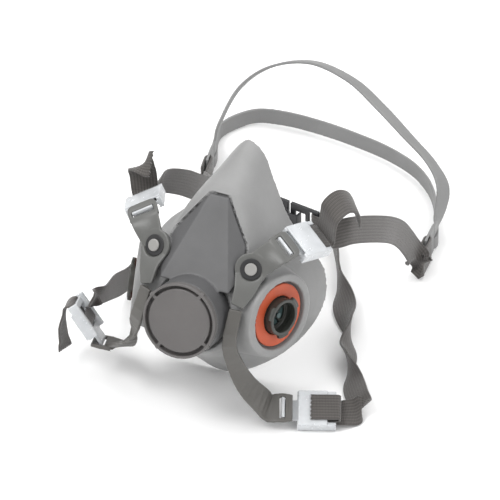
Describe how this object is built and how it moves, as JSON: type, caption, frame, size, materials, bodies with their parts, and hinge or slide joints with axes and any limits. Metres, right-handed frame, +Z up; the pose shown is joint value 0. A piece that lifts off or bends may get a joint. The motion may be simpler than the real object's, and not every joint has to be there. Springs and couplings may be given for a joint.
{
  "type": "half-face painters respirator mask",
  "caption": "Reusable half-face painters respirator: rubber cup, rigid front shield with round exhalation valve, side bayonet ports, plastic yokes, elastic straps and head cradle.",
  "frame": {"origin": "middle of the whole part's footprint, on the table it lies on", "axes": "+Z up; the mask faces -Y with its harness laid out towards +Y; +X is to the right when looking at the mask's front"},
  "size_m": [0.1907, 0.3066, 0.1323],
  "materials": {
    "rubber_grey": "satin",
    "shield_grey": "satin",
    "cover_grey": "satin",
    "yoke_grey": "satin",
    "port_green": "satin",
    "gasket_orange": "satin",
    "flap_rubber": "satin",
    "buckle_clear": "satin",
    "elastic": "satin",
    "cradle_grey": "satin",
    "stud_grey": "satin",
    "ring_black": "satin",
    "clasp_black": "satin"
  },
  "bodies": {
    "mask": {"facepiece": "rubber_grey", "front_shield": "shield_grey", "valve_seat": "port_green", "inlet_port_right": "port_green", "inlet_port_left": "port_green", "inhalation_gasket_right": "gasket_orange", "inhalation_gasket_left": "gasket_orange", "yoke_right": "yoke_grey", "yoke_left": "yoke_grey", "stud_right": "stud_grey", "stud_left": "stud_grey", "stud_ring_right": "ring_black", "stud_ring_left": "ring_black", "cradle_end_right": "cradle_grey", "cradle_end_left": "cradle_grey", "crown_band": "cradle_grey", "back_band": "cradle_grey", "strap_upper_right": "elastic", "strap_upper_left": "elastic", "strap_loop_right": "elastic", "strap_loop_left": "elastic", "clasp_hook": "clasp_black", "clasp_loop_left": "elastic", "neck_strap_left": "elastic", "neck_strap_right": "elastic"},
    "guard": {"exhalation_cover": "cover_grey"},
    "exhale_flap": {"exhalation_flap": "flap_rubber"},
    "inhale_flap_right": {"inhalation_flap_right": "flap_rubber"},
    "inhale_flap_left": {"inhalation_flap_left": "flap_rubber"},
    "arm_right": {"lower_arm_right": "yoke_grey"},
    "arm_left": {"lower_arm_left": "yoke_grey"},
    "buckle_ur": {"buckle_upper_right": "buckle_clear", "tail_upper_right": "elastic"},
    "buckle_ul": {"buckle_upper_left": "buckle_clear", "tail_upper_left": "elastic"},
    "buckle_lr": {"buckle_lower_right": "buckle_clear", "tail_lower_right": "elastic"},
    "buckle_ll": {"buckle_lower_left": "buckle_clear", "tail_lower_left": "elastic"},
    "clasp": {"clasp_eye": "clasp_black", "clasp_loop_right": "elastic"}
  },
  "joints": [
    {"name": "guard_pull", "type": "slide", "parent": "mask", "child": "guard", "axis": [0, -0.9558, 0.294], "range_m": [0, 0.022]},
    {"name": "exhale_flap_lift", "type": "slide", "parent": "mask", "child": "exhale_flap", "axis": [0, -0.9558, 0.294], "range_m": [0, 0.0012], "stiffness_N_per_m": 8},
    {"name": "inhale_flap_right_lift", "type": "slide", "parent": "mask", "child": "inhale_flap_right", "axis": [-0.9397, 0.3269, -0.1006], "range_m": [0, 0.0015], "stiffness_N_per_m": 4},
    {"name": "inhale_flap_left_lift", "type": "slide", "parent": "mask", "child": "inhale_flap_left", "axis": [0.9397, 0.3269, -0.1006], "range_m": [0, 0.0015], "stiffness_N_per_m": 4},
    {"name": "arm_right_flex", "type": "hinge", "parent": "mask", "child": "arm_right", "pos_m": [0.02817, -0.12968, 0.07952], "axis": [0.952, 0.1592, -0.2614], "range_deg": [-10, 2], "stiffness_Nm_per_rad": 0.8, "deforming": ["neck_strap_right"]},
    {"name": "arm_left_flex", "type": "hinge", "parent": "mask", "child": "arm_left", "pos_m": [-0.02643, -0.12968, 0.07952], "axis": [0.952, -0.1592, 0.2614], "range_deg": [-10, 0], "stiffness_Nm_per_rad": 0.8, "deforming": ["neck_strap_left"]},
    {"name": "buckle_ur_swing", "type": "hinge", "parent": "mask", "child": "buckle_ur", "pos_m": [0.04612, -0.09596, 0.10659], "axis": [-0.8052, 0.4306, 0.4076], "range_deg": [-10, 10], "deforming": ["strap_upper_right"]},
    {"name": "buckle_ul_swing", "type": "hinge", "parent": "mask", "child": "buckle_ul", "pos_m": [-0.04437, -0.09596, 0.10659], "axis": [-0.8052, -0.4306, -0.4076], "range_deg": [-10, 10], "deforming": ["strap_upper_left"]},
    {"name": "buckle_lr_swing", "type": "hinge", "parent": "arm_right", "child": "buckle_lr", "pos_m": [0.05537, -0.11833, 0.0112], "axis": [-0.3395, 0.8153, 0.469], "range_deg": [-12, 4], "deforming": ["neck_strap_right"]},
    {"name": "buckle_ll_swing", "type": "hinge", "parent": "arm_left", "child": "buckle_ll", "pos_m": [-0.06553, -0.11273, 0.0189], "axis": [-0.2513, 0.9348, -0.2512], "range_deg": [-10, 10], "deforming": ["neck_strap_left"]},
    {"name": "clasp_pivot", "type": "hinge", "parent": "mask", "child": "clasp", "pos_m": [-0.01329, 0.05549, 0.01], "axis": [0, 0, 1], "range_deg": [-8, 8], "deforming": ["neck_strap_right"]}
  ]
}
